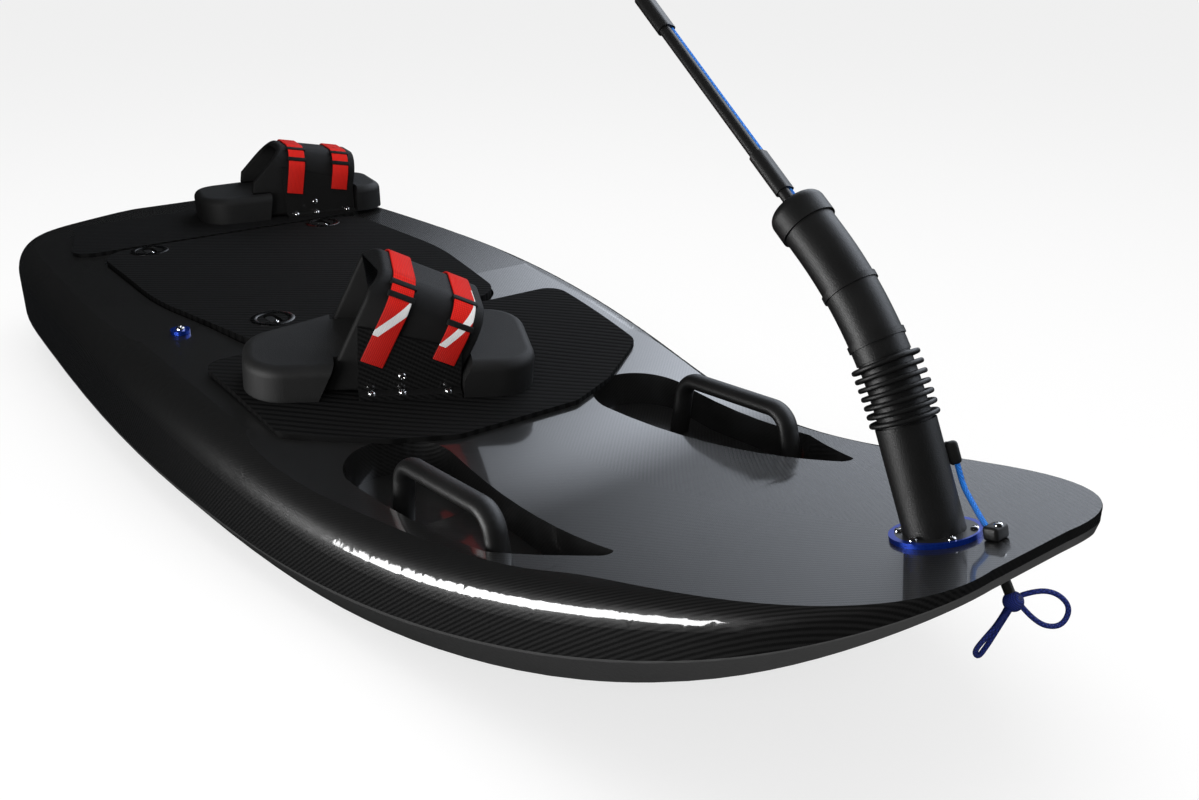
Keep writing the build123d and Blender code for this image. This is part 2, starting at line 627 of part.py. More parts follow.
# Throttle grip on the far end of the line, with its finger trigger
swell = GRIP_LENGTH / 2
grip_side = [
    Line((0, 0), (GRIP_R, 0)),
    ThreePointArc((GRIP_R, 0), (GRIP_SWELL_R, swell), (GRIP_R, GRIP_LENGTH)),
    Line((GRIP_R, GRIP_LENGTH), (0, GRIP_LENGTH)),
    Line((0, GRIP_LENGTH), (0, 0)),
]
grip = revolve(Face(Wire([Plane.XZ.from_local_coords(edge) for edge in grip_side])), Axis.Z)
grip_frame = frame_at(cap_end + top_dir * CABLE_LENGTH, top_dir)
trigger = Pos(0, GRIP_R, swell / 2) * Box(
    TRIGGER_WIDTH, GRIP_SWELL_R - GRIP_R + TRIGGER_THICK, TRIGGER_LENGTH,
    align=(Align.CENTER, Align.MIN, Align.MIN)) - grip
pieces["throttle_grip"] = grip_frame * grip
pieces["throttle_trigger"] = grip_frame * trigger


def cord_tube(points, radius):
    """A round cord along straight runs joined by the largest arcs that they leave room for."""
    nodes = [Vector(*p) for p in points]
    radii = []
    for before, at, after in zip(nodes, nodes[1:], nodes[2:]):
        shorter = min((at - before).length, (after - at).length)
        turn = (at - before).get_angle(after - at)
        radii.append(0.45 * shorter / tan(radians(turn) / 2))
    route = FilletPolyline(*nodes, radius=radii)
    start = Plane(origin=route @ 0, z_dir=route % 0)
    return sweep(start * Circle(radius), path=route)


# Lower blue cord, from the ear down to the clamp
ear_mouth = ear_frame * Rot(0, 0, -EAR_TURN) * Pos(POLE_BASE_R + EAR_REACH * 0.9, 0, -EAR_HEIGHT / 2)
clamp_mouth = clamp_frame * Pos(-CLAMP_LENGTH / 2, 0, CLAMP_HEIGHT * 0.6)
ear_point, clamp_point = Vector(ear_mouth.position), Vector(clamp_mouth.position)
down = ear_point - base_dir * 18
before_clamp = clamp_point + Vector(-8, 0, 7)
pieces["lower_cord"] = cord_tube((ear_point, down, before_clamp, clamp_point), LOWER_CORD_R) - ear - clamp

# Bow eye and its knotted cord
eye_frame = Pos(EYE_X, 0, rocker(EYE_X, 0, BOW_ROCKER_R)) * Rot(0, 180 - EYE_LEAN, 0)
eye = eye_frame * Pos(0, 0, -BEYOND / 4) * Cylinder(EYE_R, EYE_LENGTH + BEYOND / 4, align=along) & keel_cut
pieces["bow_eye"] = eye
knot_centre = Vector((eye_frame * Pos(0, 0, EYE_LENGTH + KNOT_R * 0.6)).position)
knot = Pos(knot_centre) * Sphere(KNOT_R) - eye
pieces["bow_knot"] = knot
for name, points in BOW_LOOPS.items():
    route = [
        knot_centre + Vector(ROPE_ACROSS[0] * a - ROPE_ACROSS[1] * d, ROPE_ACROSS[1] * a + ROPE_ACROSS[0] * d, up)
        for a, d, up in points
    ]
    pieces[name] = cord_tube([tuple(p) for p in route], ROPE_R) - knot

# Jet nozzle, impeller on its shaft, and the intake grate
nozzle_end = TUNNEL_LENGTH
nozzle_side = Polyline(
    (NOZZLE_BORE_R, NOZZLE_X),
    (NOZZLE_MOUTH_R, NOZZLE_X),
    (NOZZLE_ROOT_R - NOZZLE_COLLAR_STEP, nozzle_end - NOZZLE_COLLAR),
    (NOZZLE_ROOT_R, nozzle_end - NOZZLE_COLLAR),
    (NOZZLE_ROOT_R, nozzle_end),
    (NOZZLE_ROOT_BORE_R, nozzle_end),
    (NOZZLE_BORE_R, NOZZLE_X + NOZZLE_BORE_LENGTH),
    close=True,
)
nozzle_face = Face(Wire([Plane.XZ.from_local_coords(edge) for edge in nozzle_side.edges()]))
pieces["jet_nozzle"] = jet_axis * revolve(nozzle_face, Axis.Z)
impeller = Pos(0, 0, IMPELLER_X) * Cylinder(IMPELLER_HUB_R, IMPELLER_HUB_LENGTH, align=along)
impeller += Pos(0, 0, IMPELLER_X) * Cylinder(SHAFT_R, BAY_X - IMPELLER_X - SHAFT_END_GAP, align=along)
blade_ring = Pos(0, 0, IMPELLER_X) * Cylinder(IMPELLER_TIP_R, IMPELLER_HUB_LENGTH, align=along)
for blade in range(IMPELLER_BLADES):
    vane = Rot(0, 0, 360 * blade / IMPELLER_BLADES) * Pos(IMPELLER_HUB_R - 2, 0, IMPELLER_X + IMPELLER_HUB_LENGTH / 2)
    vane = vane * Rot(BLADE_PITCH, 0, 0) * Box(
        IMPELLER_TIP_R, BLADE_THICK, IMPELLER_HUB_LENGTH * 1.2, align=(Align.MIN, Align.CENTER, Align.CENTER))
    impeller += vane & blade_ring
pieces["impeller"] = jet_axis * impeller
mouth_x0, mouth_x1 = THROAT[4][0], THROAT[2][0]
mouth = mouth_x1 - mouth_x0
grate_length, grate_width = mouth - GRATE_SHORTER, 2 * (THROAT_HALF - GRATE_GAP)
grate_plan = Rectangle(grate_length, grate_width)
slot_pitch = (grate_width - GRATE_BAR) / (GRATE_BARS - 1)
for gap in range(GRATE_BARS - 1):
    middle_y = -grate_width / 2 + GRATE_BAR / 2 + slot_pitch * (gap + 0.5)
    grate_plan -= Pos(0, middle_y) * Rectangle(grate_length - 2 * GRATE_RIM, slot_pitch - GRATE_BAR)
grate = column(Pos(mouth_x0 + mouth / 2 + GRATE_FORWARD, 0) * grate_plan) & under(GRATE_THICK, BOW_ROCKER_R)
pieces["intake_grate"] = grate - keel_cut

# Tail fins under the stern
fins = [Pos(0, side * FIN_Y, 0) * (side_polygon(FIN_OUTLINE, FIN_THICK / 2) & keel_cut) for side in (1, -1)]
pieces["tail_fins"] = Compound(fins)

# Out to the files, with the origin under the middle of the hull
hull_box = hull.bounding_box()
to_origin = Pos(-hull_box.center().X, 0, 0)
for name, piece in pieces.items():
    export_step(to_origin * piece, f"parts/{name}.step")
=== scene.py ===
from math import cos, pi, radians, sin

import bmesh
import bpy
from mathutils import Matrix, Vector


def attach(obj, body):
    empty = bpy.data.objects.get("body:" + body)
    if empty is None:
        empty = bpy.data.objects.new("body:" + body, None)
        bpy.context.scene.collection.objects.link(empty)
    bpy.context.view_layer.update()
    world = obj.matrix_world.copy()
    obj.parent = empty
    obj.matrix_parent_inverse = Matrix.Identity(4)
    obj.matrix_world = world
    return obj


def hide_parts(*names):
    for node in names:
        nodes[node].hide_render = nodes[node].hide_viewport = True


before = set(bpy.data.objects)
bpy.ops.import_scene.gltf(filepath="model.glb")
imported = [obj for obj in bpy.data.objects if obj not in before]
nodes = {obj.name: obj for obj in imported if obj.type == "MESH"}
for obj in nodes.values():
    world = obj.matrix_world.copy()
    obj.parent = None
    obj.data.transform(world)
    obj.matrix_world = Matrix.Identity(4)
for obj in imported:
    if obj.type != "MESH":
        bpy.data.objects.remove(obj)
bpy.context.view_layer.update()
scene = bpy.context.scene
scene.view_settings.view_transform = "Standard"

# Camera
# It stands ahead of the starboard bow and looks aft and down along the deck.
# The focal length is in pixels of a picture 1199 wide.
PICTURE_WIDTH = 1199
FOCAL = 1191
SENSOR = 36.0
camera_place = Vector((1.2931, -0.6885, 0.6735))
camera_forward = Vector((-0.7302, 0.5648, -0.3844)).normalized()
camera_up = Vector((-0.3058, 0.2330, 0.9231))
camera_right = camera_forward.cross(camera_up).normalized()
camera_up = camera_right.cross(camera_forward)
lens = bpy.data.cameras.new("camera")
lens.sensor_width = SENSOR
lens.lens = SENSOR * FOCAL / PICTURE_WIDTH
camera = bpy.data.objects.new("camera", lens)
turn = Matrix((camera_right, camera_up, -camera_forward)).transposed()
camera.matrix_world = Matrix.Translation(camera_place) @ turn.to_4x4()
scene.collection.objects.link(camera)
scene.camera = camera


# Studio
# A pale floor under soft boxes, in a room that is white to look at and mostly dark in reflections.
# Shader maths is written as sums and products of node outputs.
class Tap:
    """One output of a shader node, which takes part in Python expressions."""

    def __init__(self, tree, socket=None):
        self.tree = tree
        self.socket = socket

    def node(self, kind, inputs=None, out=0, **settings):
        """Any node: its settings first, then the values or links of its sockets."""
        made = self.tree.nodes.new(kind)
        for name, setting in settings.items():
            setattr(made, name, setting)
        for key, value in (inputs or {}).items():
            if isinstance(value, Tap):
                self.tree.links.new(value.socket, made.inputs[key])
            else:
                made.inputs[key].default_value = value
        return Tap(self.tree, made.outputs[out])

    def maths(self, operation, *values):
        return self.node("ShaderNodeMath", dict(enumerate(values)), operation=operation)

    def __add__(self, other):
        return self.maths("ADD", self, other)

    def __radd__(self, other):
        return self.maths("ADD", other, self)

    def __sub__(self, other):
        return self.maths("SUBTRACT", self, other)

    def __rsub__(self, other):
        return self.maths("SUBTRACT", other, self)

    def __mul__(self, other):
        return self.maths("MULTIPLY", self, other)

    def __rmul__(self, other):
        return self.maths("MULTIPLY", other, self)

    def __mod__(self, other):
        return self.maths("FLOORED_MODULO", self, other)

    def __lt__(self, other):
        return self.maths("LESS_THAN", self, other)

    def __gt__(self, other):
        return self.maths("GREATER_THAN", self, other)

    def __abs__(self):
        return self.maths("ABSOLUTE", self)

    def sine(self):
        return self.maths("SINE", self)

    def floor(self):
        return self.maths("FLOOR", self)

    def rise(self, low, high):
        """0 below low, 1 above high, smooth between."""
        spans = {"Value": self, "From Min": low, "From Max": high}
        return self.node("ShaderNodeMapRange", spans, interpolation_type="SMOOTHSTEP")

    def mix(self, first, second):
        """A colour between two, by this share."""
        return self.node("ShaderNodeMix", {0: self, 6: first, 7: second}, out=2, data_type="RGBA")

    def place(self, matrix=None):
        """x, y and z of Object coordinates, in the frame of a matrix where one is given."""
        at = self.node("ShaderNodeTexCoord", out="Object")
        if matrix is not None:
            spans = {"Vector": at, "Location": matrix.translation, "Rotation": matrix.to_euler()}
            at = self.node("ShaderNodeMapping", spans, vector_type="TEXTURE")
        return at, [self.node("ShaderNodeSeparateXYZ", {0: at}, out=axis) for axis in range(3)]

    def noise(self, at, scale):
        return self.node("ShaderNodeTexNoise", {"Vector": at, "Scale": scale})

    def bump(self, height, depth, strength=1.0):
        """A normal from a height of 0 to 1 that stands for a depth in metres."""
        spans = {"Height": height, "Distance": depth, "Strength": strength}
        return self.node("ShaderNodeBump", spans)


def grey(level):
    return (level, level, level, 1)


def finish(name, paint, **constants):
    """A material: paint(tap) gives the sockets that vary, and constants set the shader's own sockets."""
    made = bpy.data.materials.new(name)
    made.use_nodes = True
    shader = made.node_tree.nodes["Principled BSDF"]
    for key, value in constants.items():
        shader.inputs[key.replace("_", " ")].default_value = value
    for key, value in paint(Tap(made.node_tree)).items():
        made.node_tree.links.new(value.socket, shader.inputs[key])
    return made


# The floor's own grey takes the shadow, and its glow for the camera makes up the rest of white
FLOOR_SIZE = 40.0
FLOOR_GREY = 0.30
FLOOR_SEEN = 0.70
floor_shape = bmesh.new()
bmesh.ops.create_grid(floor_shape, x_segments=1, y_segments=1, size=FLOOR_SIZE / 2)
floor_mesh = bpy.data.meshes.new("floor")
floor_shape.to_mesh(floor_mesh)
floor_shape.free()
floor = bpy.data.objects.new("floor", floor_mesh)
scene.collection.objects.link(floor)
floor.visible_glossy = False


def floor_paint(tap):
    seen = tap.node("ShaderNodeLightPath", out="Is Camera Ray")
    return {"Emission Color": seen.mix(grey(0), grey(FLOOR_SEEN))}


floor_finish = finish("pale_floor", floor_paint, Base_Color=grey(FLOOR_GREY), Roughness=0.9,
                      Emission_Strength=1.0, Specular_IOR_Level=0.0)
floor_mesh.materials.append(floor_finish)

# The room: white to the camera, and in reflections a cool wall of light on the port side,
# brightest along its top. Edges are spans of a direction's y or z.
ROOM_LIGHT = 0.55
ROOM_DARK = 0.008
WALL_LIGHT = 0.68
WALL_TINT = (0.84, 0.90, 1.0, 1)
WALL_SIDE = (0.36, 0.80)
WALL_FOOT = (-0.04, 0.04)
WALL_HEAD = (0.20, 0.42)
HEAD_LIGHT = 6.0
room = bpy.data.worlds.new("studio")
room.use_nodes = True
scene.world = room
air = Tap(room.node_tree)
straight = air.node("ShaderNodeLightPath", out="Is Camera Ray")
through = air.node("ShaderNodeLightPath", out="Is Transmission Ray")
mirrored = air.node("ShaderNodeLightPath", out="Is Glossy Ray")
seen = air.maths("MAXIMUM", straight, through)
heading = air.node("ShaderNodeTexCoord", out="Generated")
port = air.node("ShaderNodeSeparateXYZ", {0: heading}, out=1)
up = air.node("ShaderNodeSeparateXYZ", {0: heading}, out=2)
wall_rise = up.rise(*WALL_FOOT) + up.rise(*WALL_HEAD) * HEAD_LIGHT
wall = port.rise(*WALL_SIDE) * wall_rise * WALL_LIGHT + ROOM_DARK
level = seen + (1 - seen) * (mirrored * wall + (1 - mirrored) * ROOM_LIGHT)
sky = room.node_tree.nodes["Background"]
room.node_tree.links.new(mirrored.mix(grey(1), WALL_TINT).socket, sky.inputs["Color"])
room.node_tree.links.new(level.socket, sky.inputs["Strength"])

# Lamps: place, aim, width, height, watts, and whether they light surfaces or only shine in the gloss
LAMPS = {
    "top_box": ((0.3, -0.2, 2.8), (0, 0, 0.1), 2.4, 2.4, 40, True),
    "front_box": ((2.6, -2.2, 1.7), (0, 0, 0.2), 1.6, 1.2, 45, True),
    "rail_strip": ((0.20, -0.92, 0.18), (0.20, 0, 0.18), 0.70, 0.26, 12, False),
}
for name, (place, aim, width, tall, watts, lights) in LAMPS.items():
    lamp = bpy.data.lights.new(name, "AREA")
    lamp.shape = "RECTANGLE"
    lamp.size = width
    lamp.size_y = tall
    lamp.energy = watts
    stand = bpy.data.objects.new(name, lamp)
    stand.location = place
    stand.rotation_euler = (Vector(aim) - Vector(place)).to_track_quat("-Z", "Y").to_euler()
    stand.visible_camera = False
    stand.visible_diffuse = lights
    stand.visible_glossy = not lights
    scene.collection.objects.link(stand)

# Control line
# A black sheathed cable and a blue braided cord leave the pole's cap side by side, held taut,
# and end in the throttle grip just outside the view. Two shrunk sleeves hold them together.
CABLE_EXIT = Vector((0.6519, 0, 0.4545))
CABLE_LEAN = radians(53)
CABLE_LENGTH = 0.292
CABLE_D = 0.010
LINE_D = 0.0044
LINE_SIDE = Vector((0, 0.0076, 0))
cable_way = Vector((-sin(CABLE_LEAN), 0, cos(CABLE_LEAN)))


def cord(name, points, diameter, material):
    """A round cord as one smooth spline through its route's control points."""
    line = bpy.data.curves.new(name, "CURVE")
    line.dimensions = "3D"
    line.bevel_depth = diameter / 2
    line.bevel_resolution = 5
    line.resolution_u = 10
    line.use_fill_caps = True
    spline = line.splines.new("NURBS")
    spline.points.add(len(points) - 1)
    for control, at in zip(spline.points, points):
        control.co = (*at, 1)
    spline.order_u = 3
    spline.use_endpoint_u = True
    line.materials.append(material)
    made = bpy.data.objects.new(name, line)
    scene.collection.objects.link(made)
    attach(made, "board")
    return made


def sheath_paint(tap):
    at, _ = tap.place()
    grain = tap.noise(at, 900)
    return {
        "Base Color": grain.mix(grey(0.004), grey(0.010)),
        "Normal": tap.bump(grain, 0.0002),
    }


def braid_paint(dark, light, pitch):
    """Crossing strands that wind round a cord, by its own length and girth."""
    def paint(tap):
        spot = tap.node("ShaderNodeTexCoord", out="UV")
        at, _ = tap.place()
        along = tap.node("ShaderNodeSeparateXYZ", {0: spot}, out=0)
        girth = tap.node("ShaderNodeSeparateXYZ", {0: spot}, out=1)
        left = (along * pitch + girth * 4) % 1
        right = (along * pitch - girth * 4) % 1
        weave = (left * pi).sine() * (right * pi).sine()
        fleck = tap.noise(at, 2500)
        return {
            "Base Color": (weave * 0.75 + fleck * 0.25).mix((*dark, 1), (*light, 1)),
            "Normal": tap.bump(weave, 0.0005),
        }
    return paint


sheath = finish("cable_sheath", sheath_paint, Roughness=0.45, Specular_IOR_Level=0.3)
BLUE_DARK = (0.006, 0.07, 0.36)
BLUE_LIGHT = (0.02, 0.28, 0.92)
blue_braid = finish("blue_braid", braid_paint(BLUE_DARK, BLUE_LIGHT, 60), Roughness=0.6)
cable_route = [CABLE_EXIT + cable_way * (CABLE_LENGTH * share) for share in (0, 0.25, 0.5, 0.75, 1)]
cable = cord("throttle_cable", cable_route, CABLE_D, sheath)
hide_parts("control_cable")
line = cord("throttle_safety_cord", [at + LINE_SIDE for at in cable_route], LINE_D, blue_braid)
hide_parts("safety_line")

# Bow cord
# A thin navy braid, tied to the eye under the bow in a small knot with two loops and a cut end.
# Route points are steps from the knot: across, along the depth, and up, in millimetres.
KNOT_PLACE = Vector((0.89205, 0, 0.20933))
ROPE_D = 0.004
ROPE_ACROSS = Vector((0.61, 0.79, 0))
ROPE_DEPTH = Vector((-0.79, 0.61, 0))
LONG_LOOP = (
    (6, 2, 4), (18, 3, 8), (33, 3, 5), (43, 1, -6),
    (38, -2, -19), (25, -4, -19), (13, -3, -11), (6, -2, -3),
)
SHORT_LOOP = (
    (-4, 0, -6), (-9, -2, -17), (-18, -3, -30), (-24, -2, -42),
    (-19, 1, -49), (-13, 3, -40), (-7, 3, -25), (0.5, 2.5, -6),
)
CUT_END = ((-4, -5, -4), (-10, -9, -8), (-14, -11, -15))
NAVY_DARK = (0.003, 0.006, 0.05)
NAVY_LIGHT = (0.012, 0.03, 0.24)
navy_braid = finish("navy_braid", braid_paint(NAVY_DARK, NAVY_LIGHT, 24), Roughness=0.65)


def from_knot(steps):
    return [KNOT_PLACE + (ROPE_ACROSS * a + ROPE_DEPTH * d + Vector((0, 0, up))) / 1000 for a, d, up in steps]


def route_length(made):
    """Length of a cord's smooth line, measured on a copy with no thickness."""
    bare = made.data.copy()
    bare.bevel_depth = 0
    probe = bpy.data.objects.new("probe", bare)
    points = [v.co for v in bpy.data.meshes.new_from_object(probe).vertices]
    bpy.data.objects.remove(probe)
    return sum((b - a).length for a, b in zip(points, points[1:]))


cut_end = cord("bow_cord_end", from_knot(CUT_END), ROPE_D, navy_braid)
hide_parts("bow_rope_end")
long_loop = cord("bow_cord_long_loop", from_knot(LONG_LOOP), ROPE_D, navy_braid)
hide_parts("bow_loop_long")
route_length(long_loop)
short_loop = cord("bow_cord_short_loop", from_knot(SHORT_LOOP), ROPE_D, navy_braid)
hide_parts("bow_loop_short")
route_length(short_loop)


# Hull
# The deck shell is carbon twill under clear gloss resin; the bottom and its bevel are satin grey gelcoat.
# Both are moulded shells bonded along the seam over the bevel.
def dress(material, *names):
    """Gives CAD nodes a material, with their shapes as they are."""
    for name in names:
        for place in nodes[name].material_slots:
            place.material = material


TOW = 0.0013


def twill_paint(tap):
    at, (x, y, z) = tap.place()
    across = (z - abs(y)) * (1 / TOW)
    along = x * (1 / TOW)
    over = ((along.floor() - across.floor()) % 4) < 2
    ridge = over * ((across % 1) * pi).sine() + (1 - over) * ((along % 1) * pi).sine()
    cloud = tap.noise(at, 6)
    return {
        "Base Color": (over * 0.6 + ridge * 0.3 + cloud * 0.2).mix(grey(0.002), grey(0.011)),
        "Roughness": over * 0.12 + 0.34,
        "Normal": tap.bump(ridge, 0.0002, 0.15),
    }


carbon = finish("carbon_twill", twill_paint, Coat_Weight=1.0, Coat_Roughness=0.06, Specular_IOR_Level=0.2)
dress(carbon, "deck_shell")


def gelcoat_paint(tap):
    at, _ = tap.place()
    cloud = tap.noise(at, 5)
    peel = tap.noise(at, 260)
    return {
        "Base Color": cloud.mix(grey(0.055), grey(0.080)),
        "Roughness": peel * 0.12 + 0.32,
        "Normal": tap.bump(peel, 0.00015),
    }


dress(finish("satin_gelcoat", gelcoat_paint, Specular_IOR_Level=0.3), "hull_bottom")

# Grip pads and hatch lid
# Closed-cell foam sheets with fine slanting ribs, glued to the deck and to the lift-off lid,
# which drops into its recess in the deck.
RIB_PITCH = 0.0095
RIB_WAY = (-0.79, 0.61)


def rib_paint(tap):
    at, (x, y, _) = tap.place()
    rib = (((x * RIB_WAY[0] + y * RIB_WAY[1]) * (2 * pi / RIB_PITCH)).sine() * 0.5 + 0.5).rise(0.1, 0.7)
    cell = tap.noise(at, 1400)
    return {
        "Base Color": (rib * 0.7 + cell * 0.3).mix(grey(0.002), grey(0.007)),
        "Roughness": cell * 0.15 + 0.68,
        "Normal": tap.bump(rib * 0.85 + cell * 0.15, 0.0011, 0.8),
    }


grip_foam = finish("ribbed_foam", rib_paint, Specular_IOR_Level=0.05)
dress(grip_foam, "front_pad", "stern_pad", "hatch_lid")

# Hatch latches
# A dark lever sunk in each corner of the lid, held by one polished rivet at its bow end,
# inside a round bezel of dark metal that is pressed into the foam.
SHARP_EDGE = radians(35)


def piece(name, shape, material, body):
    """A finished mesh piece from a bmesh, smooth but for its sharp edges, riding on a body."""
    mesh = bpy.data.meshes.new(name)
    bmesh.ops.recalc_face_normals(shape, faces=shape.faces)
    shape.to_mesh(mesh)
    shape.free()
    mesh.shade_smooth()
    mesh.set_sharp_from_angle(angle=SHARP_EDGE)
    mesh.materials.append(material)
    made = bpy.data.objects.new(name, mesh)
    scene.collection.objects.link(made)
    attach(made, body)
    return made


def seat(node, x, y):
    """Frame on top of a CAD node at a plan place: z out of the surface, x towards the bow."""
    _, at, normal, _ = nodes[node].ray_cast(Vector((x, y, 2)), Vector((0, 0, -1)))
    side = normal.cross(Vector((1, 0, 0))).normalized()
    axes = Matrix((side.cross(normal), side, normal)).transposed().to_4x4()
    return Matrix.Translation(at) @ axes


# From the socket's edge over the dome to below the surface, as shares of the head's radius and height
HEAD_PROFILE = ((0.48, 1.0), (0.72, 0.94), (0.92, 0.66), (1.0, 0.2), (1.0, -0.3))
SOCKET_DEPTH = 0.6
SOCKET_TAPER = 0.86


def screw_heads(name, places, radius, height, material, body):
    """Domed screw heads with a round socket, one at each frame."""
    shape = bmesh.new()
    for place in places:
        head = bmesh.new()
        rim = [head.verts.new((radius * r, 0, height * h)) for r, h in HEAD_PROFILE]
        edges = [head.edges.new(pair) for pair in zip(rim, rim[1:])]
        bmesh.ops.spin(head, geom=rim + edges, cent=(0, 0, 0), axis=(0, 0, 1), angle=2 * pi, steps=24,
                       use_merge=True)
        inner = [e for e in head.edges if e.is_boundary and e.verts[0].co.z > height / 2]
        sunk = bmesh.ops.extrude_edge_only(head, edges=inner)["geom"]
        well = [v for v in sunk if isinstance(v, bmesh.types.BMVert)]
        bmesh.ops.translate(head, verts=well, vec=(0, 0, -SOCKET_DEPTH * height))
        bmesh.ops.scale(head, verts=well, vec=(SOCKET_TAPER, SOCKET_TAPER, 1))
        bmesh.ops.holes_fill(head, edges=[e for e in head.edges if e.is_boundary])
        bmesh.ops.transform(head, matrix=place, verts=head.verts)
        part = bpy.data.meshes.new("head")
        head.to_mesh(part)
        head.free()
        shape.from_mesh(part)
        bpy.data.meshes.remove(part)
    return piece(name, shape, material, body)


def polish_paint(tap):
    at, _ = tap.place()
    smear = tap.noise(at, 300)
    return {
        "Base Color": smear.mix(grey(0.55), grey(0.72)),
        "Roughness": smear * 0.12 + 0.12,
    }


def satin_black_paint(tap):
    at, _ = tap.place()
    grain = tap.noise(at, 1600)
    return {
        "Base Color": grain.mix(grey(0.004), grey(0.011)),
        "Roughness": grain * 0.2 + 0.35,
        "Normal": tap.bump(grain, 0.00012),
    }


polished = finish("polished_steel", polish_paint, Metallic=1.0)
satin_black = finish("satin_black", satin_black_paint, Specular_IOR_Level=0.3)
dress(satin_black, "hatch_latches")
LATCHES = ((-0.5486, 0.145), (-0.5486, -0.145), (-0.1286, 0.126), (-0.1286, -0.126))
RIVET_STEP = 0.011
RIVET_R = 0.0038
RIVET_HEIGHT = 0.0022
rivet_seats = [seat("hatch_latches", x + RIVET_STEP, y) for x, y in LATCHES]
screw_heads("latch_rivets", rivet_seats, RIVET_R, RIVET_HEIGHT, polished, "hatch")
# The bezel's section as radius and height in millimetres; its frame is found beside the lever
BEZEL_PROFILE = ((20.0, -1.0), (20.0, 0.6), (21.2, 1.3), (26.6, 1.3), (28.5, 0.4), (28.5, -1.0))
BESIDE_LEVER = 0.014


def dark_metal_paint(tap):
    at, _ = tap.place()
    smear = tap.noise(at, 240)
    return {
        "Base Color": smear.mix(grey(0.05), grey(0.09)),
        "Roughness": smear * 0.15 + 0.2,
    }


bezels = bmesh.new()
for x, y in LATCHES:
    place = seat("hatch_lid", x, y + BESIDE_LEVER) @ Matrix.Translation((0, -BESIDE_LEVER, 0))
    loop = [bezels.verts.new((r / 1000, 0, h / 1000)) for r, h in BEZEL_PROFILE]
    edges = [bezels.edges.new(pair) for pair in zip(loop, loop[1:] + loop[:1])]
    before = set(bezels.verts) - set(loop)
    bmesh.ops.spin(bezels, geom=loop + edges, cent=(0, 0, 0), axis=(0, 0, 1), angle=2 * pi, steps=48,
                   use_merge=True)
    bmesh.ops.transform(bezels, matrix=place, verts=[v for v in bezels.verts if v not in before])
dark_metal = finish("dark_metal", dark_metal_paint, Metallic=1.0)
piece("latch_bezels", bezels, dark_metal, "hatch")

# Deck plug
# A turned cap of blue anodized aluminium with a steel screw,
# let into the deck beside the lid.
ANODIZED_DARK = (0.004, 0.02, 0.22, 1)
ANODIZED_LIGHT = (0.012, 0.06, 0.48, 1)
ANODIZED_METAL = 0.75
PLUG_X = -0.1606
PLUG_Y = -0.236
PLUG_SCREW_R = 0.0058
PLUG_SCREW_HEIGHT = 0.003


def anodized_paint(tap):
    at, _ = tap.place()
    grain = tap.noise(at, 700)
    return {
        "Base Color": grain.mix(ANODIZED_DARK, ANODIZED_LIGHT),
        "Roughness": grain * 0.1 + 0.22,
    }


anodized = finish("blue_anodized", anodized_paint, Metallic=ANODIZED_METAL)
dress(anodized, "deck_plug")
plug_top = seat("deck_plug", PLUG_X, PLUG_Y)
screw_heads("plug_screw", [plug_top], PLUG_SCREW_R, PLUG_SCREW_HEIGHT, polished, "board")

# Foot bindings
# Each has a moulded foam bed on the deck, a padded neoprene arch that leans towards the toes, a carbon plate
# screwed down at bow and stern, and two red webbing straps over the arch, each held by two black keepers.
# Bed centre, the deck's slope there, turn, and the arch's offset along the bed, lean, height and heel end.
BINDINGS = {
    "front": ((0.0828, -0.0713, 0.1538), radians(-7.77), radians(-24), 0.018, radians(23), 0.127, 0.078),
    "rear": ((-0.6886, 0.148, 0.1683), radians(1.27), radians(-12), 0.042, radians(10), 0.112, 0.130),
}
LEAN_PIVOT = 0.040
STRAP_SIDE = 0.066
STRAP_RISE = 0.0027
STRAP_CORNER = 0.040
STRAP_THICK = 0.0024
STRAP_WIDTH = 0.027
STRAP_PLACES = (-0.042, 0.033)
WELD_GAP = 1e-6
FLAT_JOIN = radians(1)
ROUNDED_EDGE = radians(40)


def softened(node, radius, segments, cut=None):
    """A CAD piece's own shape with its sharp edges rounded, cut off behind a frame where one is given."""
    shape = bmesh.new()
    shape.from_mesh(nodes[node].data)
    bmesh.ops.remove_doubles(shape, verts=shape.verts, dist=WELD_GAP)
    bmesh.ops.dissolve_limit(shape, angle_limit=FLAT_JOIN, verts=shape.verts, edges=shape.edges)
    if cut:
        everything = list(shape.verts) + list(shape.edges) + list(shape.faces)
        bmesh.ops.bisect_plane(shape, geom=everything, plane_co=cut.translation, plane_no=-cut.col[1].xyz,
                               clear_outer=True)
        bmesh.ops.holes_fill(shape, edges=[e for e in shape.edges if e.is_boundary])
    sharp = [e for e in shape.edges if e.calc_face_angle(0) > ROUNDED_EDGE]
    bmesh.ops.bevel(shape, geom=sharp, offset=radius, affect="EDGES", segments=segments, profile=0.5,
                    material=-1)
    return shape


def foam_paint(tap):
    at, _ = tap.place()
    skin = tap.noise(at, 900)
    scuff = tap.noise(at, 14).rise(0.35, 0.75)
    return {
        "Base Color": (skin * 0.6 + scuff * 0.4).mix(grey(0.004), grey(0.011)),
        "Roughness": skin * 0.15 + 0.55,
        "Normal": tap.bump(skin, 0.0003),
    }


def neoprene_paint(tap):
    at, _ = tap.place()
    knit = tap.noise(at, 2200)
    return {
        "Base Color": knit.mix(grey(0.002), grey(0.007)),
        "Roughness": knit * 0.15 + 0.6,
        "Normal": tap.bump(knit, 0.0003),
    }


